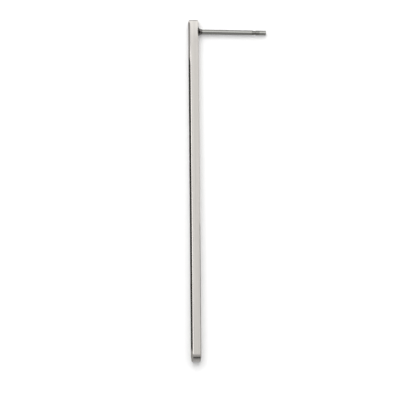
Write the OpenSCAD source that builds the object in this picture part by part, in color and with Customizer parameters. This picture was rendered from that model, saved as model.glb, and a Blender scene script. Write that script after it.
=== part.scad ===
/* [Bar] */

// Length of the bar, from the top end to the foot
bar_length = 57; // [40:1:75]

// Thickness of the bar, from its front face to its back face
bar_thickness = 1.75; // [1.3:0.05:2.4]

// Width that the straight sides would reach at the top end
top_width = 2; // [1.8:0.05:3]

// Width that the straight sides would reach at the foot
foot_width = 2.7; // [2.2:0.05:4]

/* [Top end] */

// Length over which each side curves in towards the top end
shoulder_length = 4; // [2.5:0.1:6]

// Depth by which each side has curved in at the top end
shoulder_depth = 0.33; // [0.15:0.01:0.4]

// Radius of the two corners seen from the front
corner_radius = 0.25; // [0.15:0.01:0.35]

// Radius over the top end, on its front and back edges
top_round = 0.4; // [0.2:0.02:0.6]

/* [Long edges] */

// Depth of the bevel along the front edges, measured back from the front face
front_bevel_depth = 0.3; // [0.15:0.01:0.45]

// Width of the bevel along the front edges, measured in from the side
front_bevel_width = 0.17; // [0.1:0.01:0.3]

// Size of the small break along the back edges
back_break = 0.1; // [0.05:0.01:0.2]

/* [Foot] */

// Height of the polished foot at its sides
foot_height = 1.34; // [0.9:0.02:2]

// Height of the polished foot in the middle of the front and back faces
foot_middle_height = 0.82; // [0.5:0.02:0.88]

// Tilt of the front and back of the foot away from the faces of the bar
foot_face_tilt = 8; // [5:0.5:14]

// Tilt of the sides of the foot where they leave the sides of the bar
foot_side_tilt = 2.5; // [1:0.5:5]

// Radius of the curve down the sides of the foot
foot_side_radius = 12.5; // [8:0.5:20]

// Radius of the faint curve across the end of the foot
foot_end_radius = 14; // [8:1:30]

/* [Post] */

// Radius of the ear post
post_radius = 0.405; // [0.35:0.005:0.5]

// Length of the ear post, from the back face to its free end
post_length = 11.25; // [8:0.05:14]

// Distance of the ear post below the top end, where it meets the back face
post_drop = 1.97; // [1.6:0.01:6]

// Lean of the ear post towards the foot, as it was soldered by hand
post_lean = 1.5; // [0:0.1:4]

// Chamfer around the free end
post_chamfer = 0.07; // [0.03:0.01:0.15]

// Radius of the solder fillet on the back face
fillet_radius = 0.68; // [0.6:0.01:0.8]

// Length of the solder fillet along the post
fillet_length = 0.62; // [0.4:0.02:1]

/* [Groove for the ear nut] */

// Radius at the bottom of the groove
groove_radius = 0.34; // [0.28:0.01:0.34]

// Distance from the free end to the step that ends the groove
groove_step = 1.75; // [1.2:0.05:2.5]

// Length of the groove, most of it a gentle slope
groove_length = 0.95; // [0.5:0.05:1.5]

// Length of the narrowest stretch, beside the step
groove_floor = 0.15; // [0.05:0.05:0.3]

// Length of the short ramp that makes the step
step_ramp = 0.08; // [0.04:0.01:0.15]

// How much slimmer the tip beyond the groove is than the post, on the radius
tip_slimming = 0.01; // [0:0.005:0.03]

/* [Hidden] */

$fn = 96;
large_arc_steps = 360;

// How far a cutting form reaches past the surface that it cuts
cut_margin = 1;

// How far the blank is left too long at the foot, where it is cut to its curved end
blank_allowance = 0.5;

// How far a rounding stands proud of a face that it joins, so that it crosses the face cleanly
blend_margin = 0.004;

// How far the solder fillet reaches into the bar
fillet_seat = 0.08;

half_length = bar_length / 2;
half_thickness = bar_thickness / 2;
side_taper = atan((foot_width - top_width) / 2 / bar_length);

// Where the straight side passes into the shoulder, and the centre of the arc that makes the shoulder
shoulder_y = half_length - shoulder_length;
shoulder_half_width = half_width(shoulder_y);
shoulder_radius = (pow(shoulder_length, 2) + pow(shoulder_depth, 2)) / 2 / shoulder_depth;
shoulder_centre_y = shoulder_y - shoulder_radius * sin(side_taper);
shoulder_centre_z = shoulder_half_width - shoulder_radius * cos(side_taper) + blend_margin;

// Centre of the corner arc, which joins the top end and the shoulder arc
corner_y = half_length - corner_radius + blend_margin;
corner_reach = shoulder_radius - corner_radius + blend_margin;
corner_rise = corner_y - shoulder_centre_y;
corner_z = shoulder_centre_z + sqrt(corner_reach * corner_reach - corner_rise * corner_rise);
corner_angle = asin(corner_rise / corner_reach);

// Crown of the front and back of the foot, which lifts their upper edge at the sides
foot_half_width = half_width(foot_height - half_length);
foot_crown_rise = foot_height - foot_middle_height;
foot_crown_radius = foot_half_width * foot_half_width / 2 / foot_crown_rise / tan(foot_face_tilt);

// Profile of the post, with distances from the back face
tip_radius = post_radius - tip_slimming;
step_end = post_length - groove_step;
step_start = step_end - step_ramp;
floor_start = step_start - groove_floor;
groove_start = step_end - groove_length;

// Arc of the solder fillet, which runs smoothly into the post
fillet_rise = fillet_radius - post_radius;
fillet_arc = (pow(fillet_length, 2) + pow(fillet_rise, 2)) / 2 / fillet_rise;

// The earring lies on one side, so the bar turns by its taper and is raised by half its mean width
rest_height = (top_width + foot_width) / 4 * cos(side_taper);
post_end_x = half_thickness + post_length * cos(post_lean) + (tip_radius - post_chamfer) * sin(post_lean);
box_middle_x = (post_end_x - half_thickness) / 2;

// Half the width between the straight sides, at a height above the middle of the bar
function half_width(y) = (top_width + foot_width) / 4 - y * tan(side_taper);

// Turns a drawing of the front view into a slab, from one depth to another
module front_slab(from_x, to_x) {
    translate([from_x, 0, 0]) rotate([90, 0, 90]) linear_extrude(to_x - from_x) children();
}

// Turns a drawing of the side view into a slab across the whole width
module side_slab() {
    translate([0, 0, -foot_width]) linear_extrude(2 * foot_width) children();
}

// The straight tapered blank that the bar is cut from
module blank() {
    blank_end = -half_length - blank_allowance;
    front_slab(-half_thickness, half_thickness)
        polygon([
            [blank_end, -half_width(blank_end)],
            [half_length, -half_width(half_length)],
            [half_length, half_width(half_length)],
            [blank_end, half_width(blank_end)]
        ]);
}

// A bevel along one straight edge, as the wedge that it takes away, drawn larger to reach past both faces
module edge_wedge(depth, width) {
    rotate([-90 - side_taper, 0, 0])
        linear_extrude(bar_length + 2 * cut_margin, center = true)
            polygon([[-depth, 2 * width], [2 * depth, -width], [-depth, -width]]);
}

// The two wedges on one side of the bar, placed on its side line at mid length
module side_wedges() {
    translate([-half_thickness, 0, half_width(0)]) edge_wedge(front_bevel_depth, front_bevel_width);
    translate([half_thickness, 0, half_width(0)]) mirror([1, 0, 0]) edge_wedge(back_break, back_break);
}

// A drum whose rim is one shoulder, with the slopes of both bevels turned on it
module shoulder_drum() {
    front_slope = front_bevel_width / front_bevel_depth;
    front_rim = shoulder_radius - front_bevel_width - front_slope * cut_margin;
    back_rim = shoulder_radius - back_break - cut_margin;
    translate([0, shoulder_centre_y, shoulder_centre_z])
        rotate([0, 90, 0])
            rotate_extrude($fn = large_arc_steps)
                polygon([
                    [0, -half_thickness - cut_margin],
                    [front_rim, -half_thickness - cut_margin],
                    [shoulder_radius, -half_thickness + front_bevel_depth],
                    [shoulder_radius, half_thickness - back_break],
                    [back_rim, half_thickness + cut_margin],
                    [0, half_thickness + cut_margin]
                ]);
}

// What is cut away outside one shoulder
module shoulder_cutter() {
    difference() {
        translate([-half_thickness - cut_margin / 2, shoulder_y, 0])
            cube([bar_thickness + cut_margin, shoulder_length + cut_margin, top_width]);
        shoulder_drum();
    }
}

// What is cut away outside one rounded corner of the top end
module corner_cutter() {
    reach = 3 * corner_radius;
    front_slab(-half_thickness - cut_margin, half_thickness + cut_margin)
        translate([corner_y, corner_z])
            difference() {
                polygon([
                    [0, 0],
                    [reach, 0],
                    [reach, reach],
                    [reach * sin(corner_angle), reach * cos(corner_angle)]
                ]);
                circle(corner_radius);
            }
}

// What is cut away outside one rounded edge over the top end
module top_edge_cutter() {
    side_slab()
        translate([-half_thickness - blend_margin, half_length - top_round + blend_margin])
            difference() {
                translate([-cut_margin, 0]) square([cut_margin + top_round, top_round + cut_margin]);
                translate([top_round, 0]) circle(top_round);
            }
}

// What is cut away from the front of the foot, outside a tilted round surface
module foot_face_cutter() {
    crown_length = 4 * (bar_thickness + foot_height);
    difference() {
        translate([-half_thickness - cut_margin, -half_length - cut_margin, -foot_width])
            cube([half_thickness + cut_margin, foot_height + 2 * cut_margin, 2 * foot_width]);
        translate([-half_thickness, foot_middle_height - half_length, 0])
            rotate([90, 0, foot_face_tilt])
                translate([foot_crown_radius, 0, 0])
                    cylinder(r = foot_crown_radius, h = crown_length, center = true, $fn = large_arc_steps);
    }
}

// What is cut away from one side of the foot, below a shallow crease
module foot_side_cutter() {
    past_crease = foot_side_radius * sin(foot_side_tilt);
    front_slab(-half_thickness - cut_margin, half_thickness + cut_margin)
        difference() {
            translate([-half_length - cut_margin, 0])
                square([cut_margin + foot_height + past_crease, foot_width]);
            translate([foot_height - half_length, foot_half_width])
                rotate(foot_side_tilt - side_taper)
                    translate([0, -foot_side_radius]) circle(foot_side_radius, $fn = large_arc_steps);
        }
}

// What is cut away below the faintly curved end of the foot
module foot_end_cutter() {
    front_slab(-half_thickness - cut_margin, half_thickness + cut_margin)
        difference() {
            translate([-half_length - cut_margin, -foot_width]) square([2 * cut_margin, 2 * foot_width]);
            translate([foot_end_radius - half_length, 0]) circle(foot_end_radius, $fn = large_arc_steps);
        }
}

// The bar, with its bevels, rounded top end and polished foot
module bar() {
    difference() {
        blank();
        side_wedges();
        mirror([0, 0, 1]) side_wedges();
        shoulder_cutter();
        mirror([0, 0, 1]) shoulder_cutter();
        corner_cutter();
        mirror([0, 0, 1]) corner_cutter();
        top_edge_cutter();
        mirror([1, 0, 0]) top_edge_cutter();
        foot_face_cutter();
        mirror([1, 0, 0]) foot_face_cutter();
        foot_side_cutter();
        mirror([0, 0, 1]) foot_side_cutter();
        foot_end_cutter();
    }
}

// Half of the ear post seen from the side, with its groove and chamfered end
module post_profile() {
    polygon([
        [0, -half_thickness],
        [post_radius, -half_thickness],
        [post_radius, groove_start],
        [groove_radius, floor_start],
        [groove_radius, step_start],
        [tip_radius, step_end],
        [tip_radius, post_length - post_chamfer],
        [tip_radius - post_chamfer, post_length],
        [0, post_length]
    ]);
}

// Half of the solder fillet around the root of the post
module fillet_profile() {
    difference() {
        translate([0, -fillet_seat]) square([fillet_radius, fillet_seat + fillet_length]);
        translate([post_radius + fillet_arc, fillet_length]) circle(fillet_arc);
    }
}

// The ear post with its solder
module post() {
    rotate_extrude() {
        post_profile();
        fillet_profile();
    }
}

// The whole earring, soldered into one piece and laid on its side
module earring() {
    color([0.80, 0.79, 0.77])
        translate([-box_middle_x, 0, rest_height])
            rotate([-side_taper, 0, 0]) {
                bar();
                translate([half_thickness, half_length - post_drop, 0]) rotate([0, 90, -post_lean]) post();
            }
}

earring();
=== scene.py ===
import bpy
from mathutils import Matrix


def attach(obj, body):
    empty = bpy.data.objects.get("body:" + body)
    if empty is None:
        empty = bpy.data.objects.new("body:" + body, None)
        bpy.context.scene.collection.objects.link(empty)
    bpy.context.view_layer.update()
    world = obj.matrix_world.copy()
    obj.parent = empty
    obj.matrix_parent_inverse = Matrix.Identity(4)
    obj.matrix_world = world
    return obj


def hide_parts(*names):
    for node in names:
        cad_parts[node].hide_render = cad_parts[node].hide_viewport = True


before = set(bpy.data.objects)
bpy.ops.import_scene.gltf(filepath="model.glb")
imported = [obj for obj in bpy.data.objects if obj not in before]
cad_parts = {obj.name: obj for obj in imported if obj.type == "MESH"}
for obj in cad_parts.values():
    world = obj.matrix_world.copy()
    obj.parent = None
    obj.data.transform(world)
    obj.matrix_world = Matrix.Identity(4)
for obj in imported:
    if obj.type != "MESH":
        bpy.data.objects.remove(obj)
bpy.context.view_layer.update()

import math

import bmesh
import bpy
from mathutils import Euler, Matrix, Vector

# The bar
#
# The bar is one slim strip of stainless steel that widens from its top end to its foot.
# It is brushed along its length. Its front edges are bevelled and buffed, and its foot is
# cut back on all four sides and polished like a mirror.

# The earring's sizes are in millimetres, and those of the table and the lights in metres
MILLIMETRE = 0.001
bar_length = 57.0
bar_thickness = 1.75
top_width = 2.0
foot_width = 2.7
half_length = bar_length / 2
half_thickness = bar_thickness / 2
taper = (foot_width - top_width) / 2 / bar_length
taper_angle = math.atan(taper)

# The earring lies on one of its tapered sides, and the middle of its box is at the origin
resting_height = (top_width + foot_width) / 4 * math.cos(taper_angle)
bar_middle_x = -5.6273
lay_down = (
    Matrix.Translation((bar_middle_x, 0, resting_height))
    @ Matrix.Rotation(-taper_angle, 4, "X")
)
to_metres = Matrix.Scale(MILLIMETRE, 4)


def half_width(y):
    """Half the width between the straight sides of the bar, at a height above its middle."""
    return (top_width + foot_width) / 4 - y * taper


def cut_flat(steel, point, outward):
    """Grinds off what lies outside a plane, and closes the cut with one flat face."""
    bmesh.ops.bisect_plane(
        steel,
        geom=steel.verts[:] + steel.edges[:] + steel.faces[:],
        dist=1e-6,
        plane_co=point,
        plane_no=outward,
        clear_outer=True,
    )
    rim = [edge for edge in steel.edges if edge.is_boundary]
    bmesh.ops.holes_fill(steel, edges=rim, sides=0)


def round_corners(steel, chosen, size, steps):
    """Rounds the chosen corners of a flat section."""
    corners = [vert for vert in steel.verts if chosen(vert.co)]
    bmesh.ops.bevel(
        steel,
        geom=corners,
        offset=size,
        offset_type="OFFSET",
        affect="VERTICES",
        segments=steps,
        profile=0.5,
        material=-1,
        clamp_overlap=True,
    )


def finish_piece(name, steel, materials, place):
    """Makes a piece of the finished steel, in metres and in its place."""
    bmesh.ops.transform(steel, matrix=to_metres @ place, verts=steel.verts)
    bmesh.ops.recalc_face_normals(steel, faces=steel.faces)
    mesh = bpy.data.meshes.new(name)
    steel.to_mesh(mesh)
    steel.free()
    piece = bpy.data.objects.new(name, mesh)
    bpy.context.scene.collection.objects.link(piece)
    for material in materials:
        mesh.materials.append(material)
    return piece


# The cross section, with bevelled front corners and a small break on the back ones
front_bevel_depth = 0.335
front_bevel_width = 0.19
back_break = 0.1
section_half_width = half_width(0)

bar = bmesh.new()
bmesh.ops.create_grid(bar, x_segments=1, y_segments=1, size=1)
bmesh.ops.rotate(bar, verts=bar.verts, matrix=Matrix.Rotation(math.radians(90), 3, "X"))
bmesh.ops.scale(bar, verts=bar.verts, vec=(half_thickness, 1, section_half_width))
for side in (-1, 1):
    for corner, depth, width in (
        ((-half_thickness, 0, side * section_half_width), front_bevel_depth, front_bevel_width),
        ((half_thickness, 0, side * section_half_width), back_break, back_break),
    ):
        inward = -math.copysign(1, corner[0])
        bmesh.ops.bisect_plane(
            bar,
            geom=bar.verts[:] + bar.edges[:] + bar.faces[:],
            dist=1e-6,
            plane_co=(corner[0] + inward * depth, 0, corner[2]),
            plane_no=(-inward * width, 0, side * depth),
            clear_outer=True,
        )

# Buffing leaves the edges of the bevel softly rounded, most of all the one on the side
bevel_edge_x = -half_thickness + front_bevel_depth
back_edge_x = half_thickness - back_break
nearly = 1e-4
round_corners(bar, lambda co: abs(co.x - bevel_edge_x) < nearly, size=0.12, steps=6)
round_corners(bar, lambda co: co.x < -half_thickness + nearly, size=0.035, steps=4)
round_corners(bar, lambda co: co.x > back_edge_x - nearly, size=0.02, steps=3)

# The section is drawn out along the bar from ring to ring. It starts a little too low, so
# that the end of the foot can be ground off later
foot_spare = 0.3
foot_start = -half_length - foot_spare
section = next(iter(bar.faces))


def draw_out(section, step, inward_width, inward_depth):
    """Draws the section on along the bar, with both sides and both faces moved in."""
    drawn = bmesh.ops.extrude_face_region(bar, geom=[section])["geom"]
    verts = [item for item in drawn if isinstance(item, bmesh.types.BMVert)]
    bmesh.ops.translate(bar, verts=verts, vec=(0, step, 0))
    for side in (-1, 1):
        edge_verts = [vert for vert in verts if vert.co.z * side > 0]
        bmesh.ops.translate(bar, verts=edge_verts, vec=(0, 0, -side * inward_width))
        face_verts = [vert for vert in verts if vert.co.x * side > 0]
        bmesh.ops.translate(bar, verts=face_verts, vec=(-side * inward_depth, 0, 0))
    # The old section would be a wall inside the bar
    if section.is_valid and any(len(edge.link_faces) > 2 for edge in section.edges):
        bmesh.ops.delete(bar, geom=[section], context="FACES_ONLY")
    return next(item for item in drawn if isinstance(item, bmesh.types.BMFace))


# Below a shallow crease the sides of the foot curve in
foot_height = 1.34
foot_side_tilt = math.radians(2.5)
foot_side_radius = 12.5
foot_side_steps = 8


def foot_side_in(below):
    """How far a side of the foot has curved in, at a distance below its crease."""
    start = math.sin(foot_side_tilt)
    turned = math.asin(start + below / foot_side_radius)
    return foot_side_radius * (math.cos(foot_side_tilt) - math.cos(turned))


crease_y = foot_height - half_length
lowest = crease_y - foot_start
bmesh.ops.translate(bar, verts=bar.verts, vec=(0, foot_start, 0))
start_in = section_half_width - half_width(foot_start) + foot_side_in(lowest)
for side in (-1, 1):
    bmesh.ops.translate(
        bar,
        verts=[vert for vert in bar.verts if vert.co.z * side > 0],
        vec=(0, 0, -side * start_in),
    )
step = lowest / foot_side_steps
for ring in range(foot_side_steps):
    below = lowest - ring * step
    narrower = foot_side_in(below - step) - foot_side_in(below) + taper * step
    section = draw_out(section, step, narrower, 0)

# The straight length, in stretches so that no face is too slender
shoulder_length = 4.0
straight_steps = 12
step = (half_length - shoulder_length - crease_y) / straight_steps
for ring in range(straight_steps):
    section = draw_out(section, step, taper * step, 0)

# The shoulders curve in towards the top end, and its corners and edges are rounded
shoulder_depth = 0.33
shoulder_radius = (shoulder_length**2 + shoulder_depth**2) / 2 / shoulder_depth
shoulder_step = 0.3
shoulder_rings = 13
corner_radius = 0.25
top_round = 0.4
top_round_angles = (5, 15, 25, 35, 44, 52, 60, 67, 74, 80, 85, 90)


def shoulder_in(along):
    """How far a side has curved in, at a distance along the shoulder."""
    return shoulder_radius - math.sqrt(shoulder_radius**2 - along**2) + taper * along


def corner_in(above, radius):
    """How far a rounding has come in, at a distance above where it starts."""
    return radius - math.sqrt(max(radius**2 - max(above, 0) ** 2, 0))


def top_in(y):
    """How far in the sides and the faces are, at a height in the top end."""
    from_end = half_length - y
    sides = shoulder_in(y - half_length + shoulder_length)
    sides += corner_in(corner_radius - from_end, corner_radius)
    return sides, corner_in(top_round - from_end, top_round)


heights = [half_length - shoulder_length + n * shoulder_step for n in range(shoulder_rings)]
heights += [
    half_length - top_round * (1 - math.sin(math.radians(angle))) for angle in top_round_angles
]
for below, above in zip(heights, heights[1:]):
    (sides_below, faces_below), (sides, faces) = top_in(below), top_in(above)
    section = draw_out(section, above - below, sides - sides_below, faces - faces_below)

# The front and the back of the foot are ground on a slightly crowned slope
foot_middle_height = 0.82
foot_face_tilt = math.radians(8)
foot_crown_radius = (
    half_width(crease_y) ** 2 / 2 / (foot_height - foot_middle_height) / math.tan(foot_face_tilt)
)
crown_steps = 14
crown_reach = math.asin(foot_width / 2 / foot_crown_radius)
for face_side in (-1, 1):
    slope = Matrix.Rotation(-face_side * foot_face_tilt, 3, "Z")
    edge = Vector((face_side * half_thickness, foot_middle_height - half_length, 0))
    axis = edge + slope @ Vector((-face_side * foot_crown_radius, 0, 0))
    for n in range(crown_steps + 1):
        angle = (2 * n / crown_steps - 1) * crown_reach
        outward = slope @ Vector((face_side * math.cos(angle), 0, math.sin(angle)))
        cut_flat(bar, axis + foot_crown_radius * outward, outward)

# The end of the foot has a faint curve
foot_end_radius = 14.0
end_steps = 10
end_reach = math.asin(foot_width / 2 / foot_end_radius)
for n in range(end_steps + 1):
    angle = (2 * n / end_steps - 1) * end_reach
    outward = Vector((0, -math.cos(angle), math.sin(angle)))
    cut_flat(bar, Vector((0, foot_end_radius - half_length, 0)) + foot_end_radius * outward, outward)

bmesh.ops.remove_doubles(bar, verts=bar.verts, dist=1e-5)
bmesh.ops.recalc_face_normals(bar, faces=bar.faces)

# The foot, the bevels and the roundings are polished, and everything else is brushed. Which
# way a face looks is read from its normal, squarely, mostly or hardly along an axis
BRUSHED = 0
POLISHED = 1
brushed_end = 0.5
squarely = 0.999
mostly = 0.9
hardly = 0.03


def finish_of(face):
    """The finish that a face of the bar has."""
    middle = face.calc_center_median()
    if middle.y > half_length - brushed_end:
        return BRUSHED
    depth_part = abs(face.normal.x)
    width_part = abs(face.normal.z)
    flat_face = depth_part > squarely or (depth_part < hardly and width_part > mostly)
    on_slope = depth_part > mostly and face.normal.y < -math.sin(foot_face_tilt) / 2
    in_foot = middle.y < crease_y or on_slope
    return BRUSHED if flat_face and not in_foot else POLISHED


for face in bar.faces:
    face.smooth = True
    face.material_index = finish_of(face)

# Only the creases around the foot stay sharp
deep_fold = 25
shallow_fold = 2
crease_margin = 0.05
for edge in bar.edges:
    if len(edge.link_faces) != 2:
        continue
    a, b = (vert.co for vert in edge.verts)
    along = abs((b - a).normalized().y)
    in_foot = max(a.y, b.y) < crease_y + crease_margin
    fold = math.degrees(edge.calc_face_angle())
    if in_foot and (fold > deep_fold or (along < mostly and fold > shallow_fold)):
        edge.smooth = False

# The brushing runs along the bar, so the finish takes its direction from this map
brushing = bar.loops.layers.uv.new("brushing")
for face in bar.faces:
    for loop in face.loops:
        x, y, z = loop.vert.co
        loop[brushing].uv = (z, x) if abs(face.normal.y) > mostly else (x + z, y)


def noise(tree, place, scale, detail=3.0):
    """A noise of the given size in a material, read from the piece's own coordinates."""
    mapping = tree.nodes.new("ShaderNodeMapping")
    mapping.inputs["Scale"].default_value = scale
    tree.links.new(place, mapping.inputs["Vector"])
    texture = tree.nodes.new("ShaderNodeTexNoise")
    texture.inputs["Scale"].default_value = 1.0
    texture.inputs["Detail"].default_value = detail
    tree.links.new(mapping.outputs["Vector"], texture.inputs["Vector"])
    return texture.outputs["Fac"]


def spread(tree, value, low, high):
    """Spreads a noise, most of which lies between 0.3 and 0.7, over a range."""
    mapped = tree.nodes.new("ShaderNodeMapRange")
    for socket, number in (("From Min", 0.3), ("From Max", 0.7), ("To Min", low), ("To Max", high)):
        mapped.inputs[socket].default_value = number
    tree.links.new(value, mapped.inputs["Value"])
    return mapped.outputs["Result"]


def steel_finish(
    name, dark, light, tone_scale, grain_scale, grain_depth, roughness, drift, drift_scale, anisotropy=0.0
):
    """A steel finish whose tone and roughness drift, with a fine grain."""
    material = bpy.data.materials.new(name)
    material.use_nodes = True
    tree = material.node_tree
    shader = tree.nodes["Principled BSDF"]
    shader.inputs["Metallic"].default_value = 1.0
    shader.inputs["Anisotropic"].default_value = anisotropy
    place = tree.nodes.new("ShaderNodeTexCoord").outputs["Object"]

    tone = tree.nodes.new("ShaderNodeMix")
    tone.data_type = "RGBA"
    tone.inputs["A"].default_value = (*dark, 1)
    tone.inputs["B"].default_value = (*light, 1)
    tree.links.new(spread(tree, noise(tree, place, tone_scale), 0, 1), tone.inputs["Factor"])
    tree.links.new(tone.outputs["Result"], shader.inputs["Base Color"])

    wander = noise(tree, place, drift_scale)
    drifting = spread(tree, wander, roughness - drift, roughness + drift)
    tree.links.new(drifting, shader.inputs["Roughness"])

    bump = tree.nodes.new("ShaderNodeBump")
    bump.inputs["Strength"].default_value = 1.0
    bump.inputs["Distance"].default_value = grain_depth
    tree.links.new(noise(tree, place, grain_scale, detail=2.0), bump.inputs["Height"])
    tree.links.new(bump.outputs["Normal"], shader.inputs["Normal"])
    if anisotropy:
        tangent = tree.nodes.new("ShaderNodeTangent")
        tangent.direction_type = "UV_MAP"
        tangent.uv_map = "brushing"
        tree.links.new(tangent.outputs["Tangent"], shader.inputs["Tangent"])
    return material


brushed_steel = steel_finish(
    "brushed steel",
    dark=(0.685, 0.658, 0.622),
    light=(0.784, 0.753, 0.711),
    tone_scale=(2500, 12, 2500),
    grain_scale=(9000, 30, 9000),
    grain_depth=3.5e-7,
    roughness=0.3,
    drift=0.02,
    drift_scale=(3500, 12, 3500),
    anisotropy=0.6,
)
polished_steel = steel_finish(
    "polished steel",
    dark=(0.715, 0.688, 0.655),
    light=(0.77, 0.741, 0.71),
    tone_scale=(500, 300, 500),
    grain_scale=(9000, 2500, 9000),
    grain_depth=5e-8,
    roughness=0.05,
    drift=0.02,
    drift_scale=(1500, 900, 1500),
)

bar_piece = finish_piece("bar", bar, [brushed_steel, polished_steel], lay_down)
weighted = bar_piece.modifiers.new("flat faces stay flat", "WEIGHTED_NORMAL")
weighted.mode = "FACE_AREA"
weighted.weight = 100
weighted.keep_sharp = True
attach(bar_piece, "root")
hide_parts("earring")

# The ear post
#
# The ear post is a length of hard drawn 20 gauge wire with a turned groove that catches the
# ear nut. Its end is chamfered, and it is polished so that it passes easily through the ear.

post_radius = 0.405
post_length = 11.25
post_drop = 1.97
post_lean = math.radians(1.5)
tip_radius = 0.395
tip_chamfer = 0.07
tip_length = 1.75
hidden_root = 0.3
turning_steps = 72

# The groove slopes in slowly from the side of the bar and ends in a step. Its slope starts,
# bends and ends, and its floor ends, at these distances before the step
groove_radius = 0.34
groove_end = post_length - tip_length
slope_start = 0.95
slope_bend = 0.6
slope_bend_radius = 0.39
slope_end = 0.23
floor_end = 0.08
edge_round = 0.01

# The chamfer of the end is a little rounded. It has come in by these shares of its size
# halfway and at its nose
chamfer_round = 0.02
chamfer_halfway = 0.3
chamfer_nose = 0.8

stand_post = (
    lay_down
    @ Matrix.Translation((half_thickness, half_length - post_drop, 0))
    @ Matrix.Rotation(-post_lean, 4, "Z")
)

outline = [
    (-hidden_root, 0),
    (-hidden_root, post_radius),
    (groove_end - slope_start, post_radius),
    (groove_end - slope_bend, slope_bend_radius),
    (groove_end - slope_end, groove_radius),
    (groove_end - floor_end, groove_radius),
    (groove_end - edge_round, tip_radius - edge_round),
    (groove_end + edge_round, tip_radius),
    (post_length - tip_chamfer - chamfer_round, tip_radius),
    (post_length - tip_chamfer / 2, tip_radius - tip_chamfer * chamfer_halfway),
    (post_length - edge_round, tip_radius - tip_chamfer * chamfer_nose),
    (post_length, tip_radius - tip_chamfer - chamfer_round),
    (post_length, 0),
]


def turn(outline, closed, sharp_fold):
    """Turns an outline round the X axis. Folds of more than sharp_fold degrees stay sharp."""
    turned = bmesh.new()
    corners = [turned.verts.new((x, radius, 0)) for x, radius in outline]
    following = corners[1:] + corners[:1] if closed else corners[1:]
    for start, end in zip(corners, following):
        turned.edges.new((start, end))
    bmesh.ops.spin(
        turned,
        geom=turned.verts[:] + turned.edges[:],
        cent=(0, 0, 0),
        axis=(1, 0, 0),
        angle=math.radians(360),
        steps=turning_steps,
        use_merge=True,
        use_duplicate=False,
    )
    bmesh.ops.remove_doubles(turned, verts=turned.verts, dist=1e-5)
    for face in turned.faces:
        face.smooth = True
    for edge in turned.edges:
        if len(edge.link_faces) == 2 and edge.calc_face_angle() > math.radians(sharp_fold):
            edge.smooth = False
    return turned


post = turn(outline, closed=False, sharp_fold=25)

drawn_wire = steel_finish(
    "drawn wire",
    dark=(0.50, 0.50, 0.47),
    light=(0.54, 0.54, 0.51),
    tone_scale=(300, 1500, 1500),
    grain_scale=(800, 16000, 16000),
    grain_depth=1.2e-7,
    roughness=0.12,
    drift=0.04,
    drift_scale=(500, 3000, 3000),
)


def paint_shade(material, middle, reach, tone):
    """Paints shade on a steel finish: darkens it inside an ellipsoid, of a reach in millimetres, with a
    soft rim.
    """
    reach = [size * MILLIMETRE for size in reach]
    rim_drift = 0.2
    rim_softness = 0.15
    rim_scale = (5000, 5000, 5000)
    tree = material.node_tree
    shader = tree.nodes["Principled BSDF"]
    place = tree.nodes.new("ShaderNodeTexCoord").outputs["Object"]
    around = tree.nodes.new("ShaderNodeMapping")
    around.inputs["Location"].default_value = [-m / r for m, r in zip(middle, reach)]
    around.inputs["Scale"].default_value = [1 / r for r in reach]
    tree.links.new(place, around.inputs["Vector"])
    away = tree.nodes.new("ShaderNodeVectorMath")
    away.operation = "LENGTH"
    tree.links.new(around.outputs["Vector"], away.inputs[0])
    uneven = tree.nodes.new("ShaderNodeMath")
    tree.links.new(away.outputs["Value"], uneven.inputs[0])
    rim = spread(tree, noise(tree, place, rim_scale), -rim_drift, rim_drift)
    tree.links.new(rim, uneven.inputs[1])
    fade = tree.nodes.new("ShaderNodeMapRange")
    fade.inputs["From Min"].default_value = 1 - rim_softness
    fade.inputs["From Max"].default_value = 1 + rim_softness
    fade.inputs["To Min"].default_value = 1
    fade.inputs["To Max"].default_value = 0
    tree.links.new(uneven.outputs["Value"], fade.inputs["Value"])
    tinted = tree.nodes.new("ShaderNodeMix")
    tinted.data_type = "RGBA"
    tinted.inputs["B"].default_value = (*tone, 1)
    tree.links.new(fade.outputs["Result"], tinted.inputs["Factor"])
    tree.links.new(shader.inputs["Base Color"].links[0].from_socket, tinted.inputs["A"])
    tree.links.new(tinted.outputs["Result"], shader.inputs["Base Color"])


# Shade is painted on the post around its groove, as a darker tone
groove = stand_post @ Vector((groove_end, 0, 0)) * MILLIMETRE
paint_shade(drawn_wire, groove, reach=(0.66, 1.5, 1.5), tone=(0.35, 0.35, 0.325))

post_piece = finish_piece("ear_post", post, [drawn_wire], stand_post)
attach(post_piece, "root")
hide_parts("earring")

# The solder
#
# A ring of hard solder holds the ear post on the back face. It has drawn itself up between
# the two in a smooth hollow curve. It is coloured far darker than the steel: this is painted
# shade and a painted dark reflection in the hollow between the post and the bar.

fillet_radius = 0.68
fillet_length = 0.62
fillet_steps = 12
fillet_rise = fillet_radius - post_radius
fillet_arc = (fillet_length**2 + fillet_rise**2) / 2 / fillet_rise

# It reaches a little into the bar and the post, and its thin end stands just proud of the post
into_bar = 0.08
into_post = 0.1
proud = 0.002

outline = [(-into_bar, post_radius - into_post), (-into_bar, fillet_radius)]
for n in range(fillet_steps + 1):
    x = fillet_length * n / fillet_steps
    hollow = math.sqrt(fillet_arc**2 - (fillet_length - x) ** 2)
    outline.append((x, post_radius + fillet_arc - hollow + proud))
outline.append((fillet_length, post_radius - into_post))
solder = turn(outline, closed=True, sharp_fold=30)

# The near black tone of the solder is painted shade and a painted dark reflection
hard_solder = steel_finish(
    "hard solder",
    dark=(0.012, 0.011, 0.010),
    light=(0.32, 0.305, 0.29),
    tone_scale=(3500, 3500, 3500),
    grain_scale=(7000, 7000, 7000),
    grain_depth=4e-6,
    roughness=0.16,
    drift=0.06,
    drift_scale=(4000, 4000, 4000),
)
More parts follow.
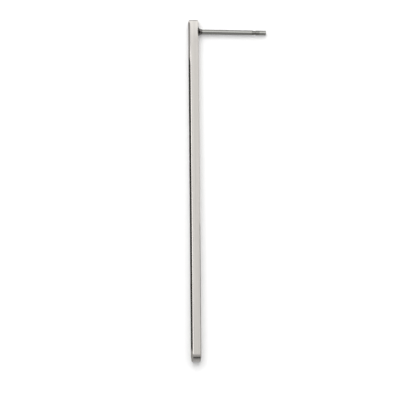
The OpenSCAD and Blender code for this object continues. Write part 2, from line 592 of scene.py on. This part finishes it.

# Shade and a reflection of the dark solder are painted on the edge of the bar beside the solder
root = stand_post.translation * MILLIMETRE
edge_shade_rise = 0.07 * MILLIMETRE
edge_shade_height = 1.94 * MILLIMETRE
edge_shade = (root.x, root.y + edge_shade_rise, edge_shade_height)
edge_shade_reach = (0.17, 0.82, 0.5)
paint_shade(brushed_steel, edge_shade, edge_shade_reach, tone=(0.10, 0.094, 0.088))
paint_shade(polished_steel, edge_shade, edge_shade_reach, tone=(0.06, 0.056, 0.052))

# A darker spot of painted shade lies on the solder, in its hollow
solder_shade_out = 0.12 * MILLIMETRE
solder_shade_up = 0.6 * MILLIMETRE
solder_shade = (root.x + solder_shade_out, root.y, root.z + solder_shade_up)
paint_shade(hard_solder, solder_shade, reach=(0.2, 0.22, 0.3), tone=(0.008, 0.007, 0.006))

solder_piece = finish_piece("solder_fillet", solder, [hard_solder], stand_post)
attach(solder_piece, "root")
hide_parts("earring")

# The table, the light and the camera
#
# The earring lies on a plain white table in a light tent, under one large soft lamp. The
# camera looks straight down on it through a long lens.

table_reach = 3.0
table_mesh = bpy.data.meshes.new("table")
table_top = bmesh.new()
bmesh.ops.create_grid(table_top, x_segments=1, y_segments=1, size=table_reach)
table_top.to_mesh(table_mesh)
table_top.free()
table = bpy.data.objects.new("table", table_mesh)
bpy.context.scene.collection.objects.link(table)
paper = bpy.data.materials.new("white table")
paper.use_nodes = True
paper_shader = paper.node_tree.nodes["Principled BSDF"]
paper_shader.inputs["Base Color"].default_value = (0.92, 0.92, 0.92, 1)
paper_shader.inputs["Roughness"].default_value = 0.9
paper_shader.inputs["Specular IOR Level"].default_value = 0.0
table_mesh.materials.append(paper)
table.visible_glossy = False

# Above the table the light tent grows brighter towards the top end of the earring. Below the
# level of the table the steel mirrors a darker room, which is lighter at the front and the back
world = bpy.data.worlds.new("light tent")
world.use_nodes = True
tent = world.node_tree
tent.nodes["Background"].inputs["Color"].default_value = (1, 1, 1, 1)
tent_direction = tent.nodes.new("ShaderNodeSeparateXYZ")
tent.links.new(tent.nodes.new("ShaderNodeTexCoord").outputs["Generated"], tent_direction.inputs[0])


def tent_ramp(axis, start, end, low, high):
    """Grades the tent between two brightnesses, or two other ramps, along one direction."""
    ramp = tent.nodes.new("ShaderNodeMapRange")
    ramp.inputs["From Min"].default_value = start
    ramp.inputs["From Max"].default_value = end
    for socket, brightness in (("To Min", low), ("To Max", high)):
        if isinstance(brightness, float):
            ramp.inputs[socket].default_value = brightness
        else:
            tent.links.new(brightness, ramp.inputs[socket])
    tent.links.new(tent_direction.outputs[axis], ramp.inputs["Value"])
    return ramp.outputs["Result"]


foot_side = tent_ramp("Y", start=-0.8, end=0.02, low=0.43, high=0.55)
top_side = tent_ramp("Y", start=0.75, end=0.98, low=1.15, high=0.6)
whole_tent = tent_ramp("Y", start=0.02, end=0.37, low=foot_side, high=top_side)
middle_of_room = tent_ramp("Y", start=-0.8, end=0.8, low=0.28, high=0.48)
front_of_room = tent_ramp("X", start=-0.8, end=-0.3, low=0.72, high=middle_of_room)
whole_room = tent_ramp("X", start=0.3, end=0.8, low=front_of_room, high=0.85)
tent_glow = tent_ramp("Z", start=-0.03, end=0.03, low=whole_room, high=whole_tent)
tent.links.new(tent_glow, tent.nodes["Background"].inputs["Strength"])
bpy.context.scene.world = world
bpy.context.scene.view_settings.view_transform = "Standard"
bpy.context.scene.view_settings.look = "None"


def studio_card(name, middle, facing, width, height, brightness):
    """A card that the polished steel mirrors. It throws neither light nor shade on the table."""
    card_mesh = bpy.data.meshes.new(name)
    card = bmesh.new()
    bmesh.ops.create_grid(card, x_segments=1, y_segments=1, size=0.5)
    bmesh.ops.scale(card, verts=card.verts, vec=(width, height, 1))
    aim = Vector(facing).to_track_quat("Z", "Y").to_matrix().to_4x4()
    bmesh.ops.transform(card, verts=card.verts, matrix=Matrix.Translation(middle) @ aim)
    card.to_mesh(card_mesh)
    card.free()
    paint = bpy.data.materials.new(name)
    paint.use_nodes = True
    paint.node_tree.nodes.clear()
    glow = paint.node_tree.nodes.new("ShaderNodeEmission")
    glow.inputs["Strength"].default_value = brightness
    surface = paint.node_tree.nodes.new("ShaderNodeOutputMaterial")
    paint.node_tree.links.new(glow.outputs["Emission"], surface.inputs["Surface"])
    card_mesh.materials.append(paint)
    piece = bpy.data.objects.new(name, card_mesh)
    bpy.context.scene.collection.objects.link(piece)
    piece.visible_camera = False
    piece.visible_diffuse = False
    piece.visible_shadow = False


def arc_card(name, plane, angles, distance, length, brightness, at_y=0.0):
    """A card round a point of the bar, between two angles from upright, in degrees."""
    middle = math.radians(sum(angles) / 2)
    reach = 2 * distance * math.tan(math.radians(abs(angles[1] - angles[0])) / 2)
    across, up = distance * math.sin(middle), distance * math.cos(middle)
    away = Vector((0, across, up) if plane == "ends" else (across, 0, up))
    studio_card(name, Vector((0, at_y, 0)) + away, -away, length, reach, brightness)


# Beyond the foot the tent has its opening, a dark slit between grey edges. Each strip of it
# has the two angles between which it shows, and its brightness
foot_y = -half_length * MILLIMETRE
opening = (
    (-6.9, -5.2, 0.64),
    (-8.5, -6.9, 0.40),
    (-9.8, -8.5, 0.34),
    (-11.4, -9.8, 0.03),
    (-13.0, -11.4, 0.21),
    (-14.6, -13.0, 0.34),
    (-20, -14.6, 0.45),
    (-42, -20, 0.15),
    (-88, -42, 0.38),
)
for low, high, brightness in opening:
    arc_card("opening", "ends", (low, high), distance=1.5, length=1.0, brightness=brightness, at_y=foot_y)
arc_card("far end", "ends", (62, 88), distance=0.5, length=0.3, brightness=0.55)

# The rounding beside the bevel mirrors a bright strip in front of the earring, and the bevel
# mirrors something dark and near
glow_angles = (-28, -6)
arc_card("front glow", "sides", glow_angles, distance=0.5, length=0.088, brightness=2.0, at_y=0.008)
arc_card("upper front glow", "sides", glow_angles, distance=0.5, length=0.148, brightness=1.15, at_y=0.126)
arc_card("front side", "sides", (-88, -28), distance=0.5, length=0.4, brightness=0.36)
arc_card("dark side", "sides", (-86, -28), distance=0.06, length=0.0515, brightness=0.055, at_y=-0.00125)
arc_card("back side", "sides", (62, 110), distance=0.06, length=0.028, brightness=0.2, at_y=-0.019)

# One soft lamp stands to the upper left. The steel does not mirror it. Its power follows
# from its size and the radiance that it should have
lamp_place = (-0.055, 0.22, 0.6)
lamp_size = 0.58
lamp_radiance = 3.25
lamp_data = bpy.data.lights.new("soft lamp", "AREA")
lamp_data.shape = "DISK"
lamp_data.size = lamp_size
lamp_data.energy = lamp_radiance * math.pi * math.pi * (lamp_size / 2) ** 2
lamp = bpy.data.objects.new("soft lamp", lamp_data)
lamp.location = lamp_place
lamp.rotation_euler = Vector(lamp_place).to_track_quat("Z", "Y").to_euler()
lamp.visible_camera = False
lamp.visible_glossy = False
bpy.context.scene.collection.objects.link(lamp)

# The camera takes in a little more than the length of the bar, and its height is taken from
# the upper side of the bar
frame_width = 66.67 * MILLIMETRE
sensor_width = 36.0
camera_height = 0.9
upper_side = 0.002
camera_x = -4.763 * MILLIMETRE
camera_y = -1.52 * MILLIMETRE
camera_turn = math.radians(-0.47)
camera_data = bpy.data.cameras.new("camera")
camera_data.sensor_width = sensor_width
camera_data.lens = sensor_width * camera_height / frame_width
camera_data.clip_end = 10.0
camera = bpy.data.objects.new("camera", camera_data)
camera.location = (camera_x, camera_y, camera_height + upper_side)
camera.rotation_euler = Euler((0, 0, camera_turn))
bpy.context.scene.collection.objects.link(camera)
bpy.context.scene.camera = camera
